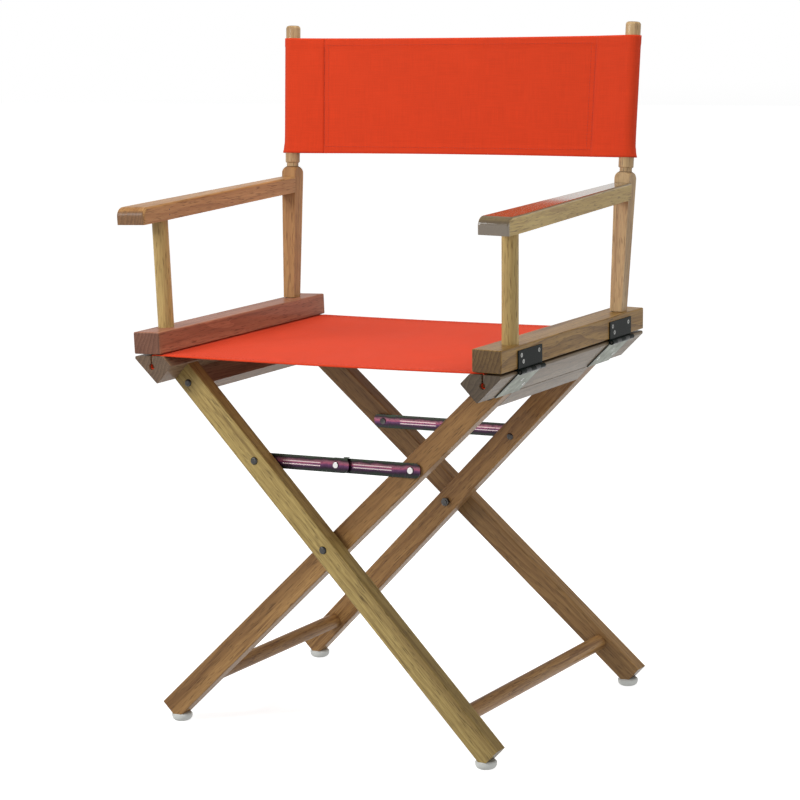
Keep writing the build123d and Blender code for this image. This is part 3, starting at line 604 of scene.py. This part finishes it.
def sleeve_outline(dowel_radius):
    """Cross-section of a sleeve, from its flap behind round the dowel to the seam in front.

    Points are (inboard distance from the dowel, forward distance). The two plies run straight
    from the seam until they meet the dowel at a tangent.
    """
    reach = dowel_radius + SLEEVE_EASE + CLOTH / 2
    tangent = math.pi / 2 - math.asin((reach - PLY_OFFSET) / SLEEVE_SEAM)
    seam, flap = SLEEVE_SEAM, SLEEVE_FLAP
    back = [(seam + flap, -PLY_OFFSET), (seam + flap * 0.5, -PLY_OFFSET), (seam, -PLY_OFFSET)]
    for share in np.linspace(0.08, 0.92, 12):
        x = seam + (reach * math.cos(tangent) - seam) * share
        y = -PLY_OFFSET + (-reach * math.sin(tangent) + PLY_OFFSET) * share
        back.append((x, y))
    round_dowel = []
    for angle in np.linspace(-tangent, -2 * math.pi + tangent, 40):
        round_dowel.append((reach * math.cos(angle), reach * math.sin(angle)))
    front = [(x, -y) for x, y in reversed(back[2:])]
    return np.array(back + round_dowel + front)


def sleeve(name, side, centres, forward, radius, material, thick):
    """One sleeve: its cross-section swept up the dowel; side is +1 for the right one."""
    outline = sleeve_outline(radius)
    grid = np.zeros((len(outline), len(centres), 3))
    inboard = np.array([-side, 0.0, 0.0])
    for i, (inward, ahead) in enumerate(outline):
        for j, centre in enumerate(centres):
            middle = centre * np.array([side, 1, 1])
            flare = 1.0 + SLEEVE_FLARE * math.exp(-j / 2.6) * (1 if inward < 0 else 0)
            grid[i, j] = middle + inboard * inward * flare + np.array(forward) * ahead
    if side < 0:
        grid = grid[::-1]
    return cloth(name, grid, np.broadcast_to(thick, grid.shape[:2]).copy(), material)


def seam_runs(centres, forward):
    """Two rows of stitches up each sleeve's seam, in front and behind."""
    face = CLOTH / 2 + STITCH_LIFT
    runs = []
    for side in (-1, 1):
        for inset in (SEAM_INSET, SEAM_INSET + SEAM_PAIR):
            ends = []
            for row in (SEAM_START, -1 - SEAM_START):
                centre = centres[row]
                ends.append(Vector((side * (centre[0] - SLEEVE_SEAM - inset), centre[1], centre[2])))
            for direction in (1, -1):
                offset = forward * (direction * (PLY_OFFSET + face))
                runs.append((ends[0] + offset, ends[1] + offset, forward * direction))
    return runs


def hem_runs(centres, lean, forward):
    """One row of stitches along the bottom hem and one along the top hem, in front and behind."""
    face = (CLOTH + HEM_EXTRA) / 2 + STITCH_LIFT
    runs = []
    for row, rise in ((0, BACK_HEM_ROW), (-1, -BACK_HEM_ROW)):
        centre = Vector(centres[row]) + lean * rise
        half = centre.x - SLEEVE_SEAM
        for direction in (1, -1):
            offset = forward * (HEM_FRONT + face if direction > 0 else HEM_BEHIND - face)
            start = Vector((-half, centre.y, centre.z)) + offset
            end = Vector((half, centre.y, centre.z)) + offset
            runs.append((start, end, forward * direction))
    return runs


def make_back(material, sewing):
    """The panel, a sleeve round each dowel, and the stitches of seams and hems."""
    centres, lean, forward, radius = back_measures()
    rise = np.linalg.norm(centres - centres[0], axis=1)
    thick = hem_thickness(rise, 0.0, rise[-1], BACK_HEM)[None, :]
    sleeves = {side: sleeve("back_canvas_sleeve_" + label, side, centres, forward, radius, material, thick)
               for side, label in ((1, "right"), (-1, "left"))}
    beyond_seam = [1.02, 1.05, 1.10]
    shares = np.append(np.linspace(-1, 1, 121), beyond_seam)
    grid = np.zeros((len(shares), len(centres), 3))
    for i, share in enumerate(shares):
        inside = min(abs(share), 1.0)
        for j, centre in enumerate(centres):
            half = centre[0] - SLEEVE_SEAM
            bow = PANEL_BOW * math.cos(math.pi / 2 * inside ** 4)
            ripple = PANEL_RIPPLE * math.sin(share * 23 + j * 0.11) * math.exp((inside - 1) / 0.12)
            dip = PANEL_DIP * (1 - inside ** 2) * (2 * j / (len(centres) - 1) - 1)
            grid[i, j] = (min(share * half, half + PANEL_TUCK), centre[1], centre[2])
            grid[i, j] += np.array(forward) * (PLY_OFFSET + bow + ripple * (1 - inside))
            grid[i, j] -= np.array(lean) * dip
    panel = cloth("back_canvas_panel", grid, np.broadcast_to(thick, grid.shape[:2]).copy(), material)
    runs = seam_runs(centres, Vector(forward)) + hem_runs(centres, Vector(lean), Vector(forward))
    seams = stitches("back_canvas_stitches", runs, sewing)
    return panel, sleeves, seams, centres, radius


# ---------------------------------------------------------------- seat canvas
def seat_outline():
    """The right edge of the seat in section, from its hem round the rod up to the flat, as (x, z)."""
    rod_low, rod_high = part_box("right_seat_dowel")
    rod_x = (rod_low.x + rod_high.x) / 2
    rod_z = (rod_low.z + rod_high.z) / 2
    loop = (rod_high.x - rod_low.x) / 2 + 0.15 * MM + CLOTH / 2
    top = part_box("seat_canvas")[1].z - CLOTH / 2
    wall = rod_x + 0.2 * MM
    edge = []
    for angle in np.linspace(math.radians(112), math.radians(430), 26):
        edge.append((rod_x + loop * math.cos(angle), rod_z + loop * math.sin(angle)))
    edge.append((rod_x + 0.5 * MM, rod_z + loop + 1.6 * MM))
    for z in np.linspace(rod_z + loop + 3 * MM, top - SEAT_CORNER, 5):
        edge.append((wall, z))
    for angle in np.linspace(0, math.pi / 2, CORNER_STEPS + 1)[1:]:
        x = wall + SEAT_CORNER * (math.cos(angle) - 1)
        z = top + SEAT_CORNER * (math.sin(angle) - 1)
        edge.append((x, z))
    return np.array(edge)


def seat_piece(name, outline, thick, material):
    """A length of seat cloth: its section swept from the front to the back."""
    low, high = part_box("seat_canvas")
    depth = np.linspace(high.y, low.y, 101)
    grid = np.zeros((len(outline), len(depth), 3))
    grid[:, :, 0] = outline[:, :1]
    grid[:, :, 1] = depth[None, :]
    grid[:, :, 2] = outline[:, 1:]
    return cloth(name, grid, thick(depth), material)


def make_seat(material, sewing):
    """The span between the rails, a strip round each hem rod, and the stitches of both hems."""
    edge = seat_outline()
    low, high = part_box("seat_canvas")
    half, top = edge[-1]
    across = np.linspace(half, -half, 93)
    flat = np.stack([across, top - SEAT_SAG * (1 - (across / half) ** 2)], axis=1)

    def hemmed(depth):
        folded = hem_thickness(depth, low.y, high.y, SEAT_HEM)[None, :]
        return np.where(np.abs(across)[:, None] < half - SEAT_HEM_STOP, folded, CLOTH)

    def plain(depth):
        return np.full((len(edge), len(depth)), CLOTH)

    span = seat_piece("seat_canvas_span", flat, hemmed, material)
    strips = {1: seat_piece("seat_canvas_edge_right", edge, plain, material),
              -1: seat_piece("seat_canvas_edge_left", edge[::-1] * np.array([-1, 1]), plain, material)}
    runs = []
    for y in (low.y + SEAT_HEM_ROW, high.y - SEAT_HEM_ROW):
        xs = np.linspace(-half + SEAT_STITCH_STOP, half - SEAT_STITCH_STOP, 41)
        heights = top - SEAT_SAG * (1 - (xs / half) ** 2)
        for i in range(len(xs) - 1):
            for direction in (1, -1):
                lift = direction * (CLOTH + HEM_EXTRA) / 2
                start = (xs[i], y, heights[i] + lift)
                end = (xs[i + 1], y, heights[i + 1] + lift)
                runs.append((start, end, (0, 0, direction)))
    seams = stitches("seat_canvas_stitches", runs, sewing)
    return span, strips, seams, edge


def declare_back(cloth_look, sewing):
    """Sleeves ride on their own arms; the panel and its stitches ride on the left arm."""
    panel, sleeves, seams, centres, radius = make_back(cloth_look, sewing)
    for side, label in ((1, "right"), (-1, "left")):
        piece = sleeves[side]
        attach(piece, label + "_arm")
        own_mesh(piece)
    for piece in (panel, seams):
        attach(piece, "left_arm")
        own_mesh(piece)
    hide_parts("back_canvas")


def declare_seat(cloth_look, sewing):
    """The span and its stitches ride on the left arm; each edge strip stays where it was built, on no arm.
    """
    span, strips, seams, edge = make_seat(cloth_look, sewing)
    for piece in (span, seams):
        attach(piece, "left_arm")
        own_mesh(piece)
    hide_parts("seat_canvas")
    for side, label, frame_body in ((1, "right", "inner_frame"), (-1, "left", "outer_frame")):
        piece = strips[side]
        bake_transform(piece)


def make_canvas():
    cloth_look = canvas("canvas_red", (0.66, 0.050, 0.012))
    sewing = thread("thread_red", (0.58, 0.044, 0.012))
    declare_back(cloth_look, sewing)
    declare_seat(cloth_look, sewing)


# ---------------------------------------------------------------- studio
def make_floor():
    """A pale floor that glows enough to stay white, and lights nothing."""
    mesh = bpy.data.meshes.new("floor")
    size = 12.0
    corners = [(-size, -size, 0), (size, -size, 0), (size, size, 0), (-size, size, 0)]
    mesh.from_pydata(corners, [], [(0, 1, 2, 3)])
    floor = bpy.data.objects.new("floor", mesh)
    bpy.context.scene.collection.objects.link(floor)
    s = Shader("floor_pale")
    coords = s.node("ShaderNodeTexCoord", out="Object")
    tone = s.noise(coords, scale=3.0, detail=3.0)
    s.shade(Base_Color=s.mix(tone, colour(0.60, 0.60, 0.60), colour(0.64, 0.64, 0.63)), Roughness=0.7)
    s.shade(Emission_Color=colour(1.0, 1.0, 1.0), Emission_Strength=0.80, Specular_IOR_Level=0.0)
    floor.visible_diffuse = False
    mesh.materials.append(s.material)


def soft_light(name, place, target, size, power, mirrored):
    """An area light of its own; mirrored says whether glossy surfaces show it."""
    data = bpy.data.lights.new(name, "AREA")
    data.shape = "RECTANGLE"
    data.size, data.size_y = size
    data.energy = power
    light = bpy.data.objects.new(name, data)
    light.location = place
    light.rotation_euler = (Vector(target) - Vector(place)).to_track_quat("-Z", "Y").to_euler()
    light.visible_camera = False
    light.visible_glossy = mirrored
    bpy.context.scene.collection.objects.link(light)


def make_world():
    """Light that is white round the horizon and dimmer overhead and below."""
    world = bpy.data.worlds.new("studio")
    world.use_nodes = True
    nodes = world.node_tree.nodes
    links = world.node_tree.links
    coords = nodes.new("ShaderNodeTexCoord")
    parts = nodes.new("ShaderNodeSeparateXYZ")
    links.new(coords.outputs["Generated"], parts.inputs[0])
    fades = []
    for start, end, dim in ((0.12, 0.45, WORLD_OVERHEAD), (-0.05, -0.35, WORLD_BELOW)):
        fade = nodes.new("ShaderNodeMapRange")
        links.new(parts.outputs[2], fade.inputs["Value"])
        settings = {"From Min": start, "From Max": end, "To Min": 1.0, "To Max": dim}
        for key, value in settings.items():
            fade.inputs[key].default_value = value
        fades.append(fade)
    both = nodes.new("ShaderNodeMath")
    both.operation = "MULTIPLY"
    for fade, socket in zip(fades, both.inputs):
        links.new(fade.outputs[0], socket)
    background = nodes["Background"]
    background.inputs["Color"].default_value = colour(1.0, 1.0, 1.0)
    links.new(both.outputs[0], background.inputs["Strength"])
    bpy.context.scene.world = world


def make_lights():
    soft_light("key", (-0.9, -1.4, 1.25), (-0.05, 0, 0.5), (0.7, 0.6), 19, True)
    soft_light("fill", (2.2, -1.2, 1.4), (0, 0, 0.6), (0.5, 1.4), 5, True)
    soft_light("top", (0.2, 0.3, 2.2), (0, 0, 0.4), (1.4, 1.0), 26, False)
    bpy.context.scene.view_settings.view_transform = "Standard"


def make_camera():
    """A camera from its place, azimuth, elevation and roll, in degrees."""
    azimuth, elevation, roll = (math.radians(a) for a in (CAMERA_AZIMUTH, CAMERA_ELEVATION, CAMERA_ROLL))
    ahead = Vector((-math.sin(azimuth) * math.cos(elevation), math.cos(azimuth) * math.cos(elevation),
                    -math.sin(elevation)))
    right = Vector((math.cos(azimuth), math.sin(azimuth), 0))
    up = right.cross(ahead)
    rolled_right = right * math.cos(roll) + up * math.sin(roll)
    rolled_up = up * math.cos(roll) - right * math.sin(roll)
    data = bpy.data.cameras.new("camera")
    data.sensor_width = SENSOR_WIDTH
    data.lens = CAMERA_LENS
    camera = bpy.data.objects.new("camera", data)
    matrix = Matrix((rolled_right, rolled_up, -ahead)).transposed().to_4x4()
    matrix.translation = Vector(CAMERA_PLACE)
    camera.matrix_world = matrix
    bpy.context.scene.collection.objects.link(camera)
    bpy.context.scene.camera = camera


dress_wood()
dress_metal()
make_canvas()
make_floor()
make_world()
make_lights()
make_camera()
